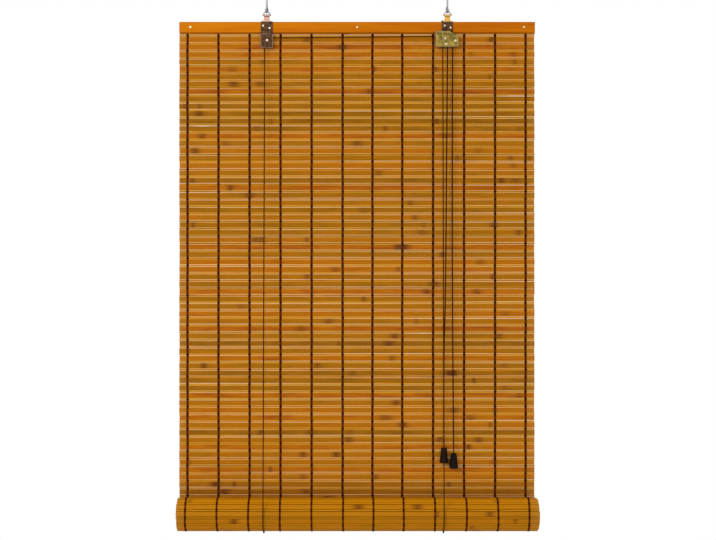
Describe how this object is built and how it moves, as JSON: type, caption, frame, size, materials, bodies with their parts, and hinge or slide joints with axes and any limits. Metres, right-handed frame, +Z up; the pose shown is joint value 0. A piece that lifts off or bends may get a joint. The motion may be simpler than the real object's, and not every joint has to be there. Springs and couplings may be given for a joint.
{
  "type": "bamboo roll up blind",
  "caption": "Bamboo slat blind that hangs from two screw hooks, rolled up from below by cords over a pulley and through a cord lock, with bell-shaped pulls.",
  "frame": {"origin": "in the ceiling plane, midway between the two screw hooks", "axes": "X along the head rail, to the right seen from the room; Y away from the room; Z up"},
  "size_m": [0.8, 0.0915, 1.223],
  "materials": {
    "varnished_wood": "satin varnish",
    "bamboo": "satin varnish",
    "thread": "matte",
    "cord": "matte",
    "tassel": "satin",
    "hook_steel": "bright",
    "bronze": "dark bronze",
    "lock_brass": "worn plating",
    "rivet_steel": "bright",
    "lock_steel": "plain",
    "wheel": "matte"
  },
  "bodies": {
    "hangers": {"left_hook": "hook_steel", "right_hook": "hook_steel", "left_ring": "hook_steel", "right_ring": "hook_steel"},
    "head": {"front_batten": "varnished_wood", "rear_batten": "varnished_wood", "batten_rivets": "rivet_steel", "slat_mat": "bamboo", "warp_threads": "thread", "left_hanger_plate": "bronze", "right_hanger_plate": "bronze", "plate_nails": "rivet_steel", "left_pulley_cover": "bronze", "lock_cover": "lock_brass", "left_pulley_axle": "rivet_steel", "lock_rivets": "rivet_steel", "lock_pin": "rivet_steel", "lock_divider": "lock_steel", "cross_cord": "cord", "lock_cord": "cord", "left_front_cord": "cord", "right_front_cord": "cord", "left_rear_cord": "cord", "right_rear_cord": "cord", "cord_knots": "cord", "left_pull_cord": "cord", "right_pull_cord": "cord"},
    "sling": {"left_cord_sling": "cord", "right_cord_sling": "cord"},
    "roll": {"rolled_mat": "bamboo", "roll_warp_threads": "thread", "bottom_batten": "varnished_wood", "bottom_rivets": "rivet_steel"},
    "left_pull": {"left_tassel": "tassel", "left_tassel_knot": "cord"},
    "right_pull": {"right_tassel": "tassel", "right_tassel_knot": "cord"},
    "left_pulley": {"left_pulley": "wheel"},
    "lock_front_pulley": {"lock_front_pulley": "wheel"},
    "lock_rear_pulley": {"lock_rear_pulley": "wheel"},
    "lock_left_cam": {"lock_left_cam": "lock_steel"},
    "lock_right_cam": {"lock_right_cam": "lock_steel"}
  },
  "joints": [
    {"name": "blind_swing", "type": "hinge", "parent": "hangers", "child": "head", "pos_m": [0, 0, -0.04632], "axis": [1, 0, 0], "range_deg": [-45, 45]},
    {"name": "roll_drop", "type": "slide", "parent": "head", "child": "sling", "axis": [0, 0, -1], "range_m": [0, 0.41], "deforming": ["slat_mat", "warp_threads", "left_front_cord", "right_front_cord", "left_rear_cord", "right_rear_cord"]},
    {"name": "roll_turn", "type": "hinge", "parent": "sling", "child": "roll", "pos_m": [0, -0.02725, -1.16202], "axis": [1, 0, 0], "continuous": true},
    {"name": "left_pull", "type": "slide", "parent": "head", "child": "left_pull", "axis": [0, 0, 1], "range_m": [0, 0.82], "deforming": ["left_pull_cord"]},
    {"name": "right_pull", "type": "slide", "parent": "head", "child": "right_pull", "axis": [0, 0, 1], "range_m": [0, 0.82], "deforming": ["right_pull_cord"]},
    {"name": "left_pulley_turn", "type": "hinge", "parent": "head", "child": "left_pulley", "pos_m": [-0.2021, -0.00125, -0.10222], "axis": [0, 1, 0], "continuous": true},
    {"name": "lock_front_pulley_turn", "type": "hinge", "parent": "head", "child": "lock_front_pulley", "pos_m": [0.1976, -0.00605, -0.09862], "axis": [0, 1, 0], "continuous": true},
    {"name": "lock_rear_pulley_turn", "type": "hinge", "parent": "head", "child": "lock_rear_pulley", "pos_m": [0.2093, -0.00125, -0.09862], "axis": [0, 1, 0], "continuous": true},
    {"name": "left_cam_tilt", "type": "hinge", "parent": "head", "child": "lock_left_cam", "pos_m": [0.1992, -0.00605, -0.11122], "axis": [0, 1, 0], "range_deg": [0, 30]},
    {"name": "right_cam_tilt", "type": "hinge", "parent": "head", "child": "lock_right_cam", "pos_m": [0.2204, -0.00125, -0.10402], "axis": [0, -1, 0], "range_deg": [0, 35]}
  ],
  "couplings": [
    {"joint": "roll_turn", "follows": "roll_drop", "rad_per_m": 25.773},
    {"joint": "left_pull", "follows": "roll_drop", "ratio": 2},
    {"joint": "right_pull", "follows": "roll_drop", "ratio": 2},
    {"joint": "left_pulley_turn", "follows": "roll_drop", "rad_per_m": -357.14},
    {"joint": "lock_front_pulley_turn", "follows": "roll_drop", "rad_per_m": -370.37},
    {"joint": "lock_rear_pulley_turn", "follows": "roll_drop", "rad_per_m": -370.37}
  ]
}
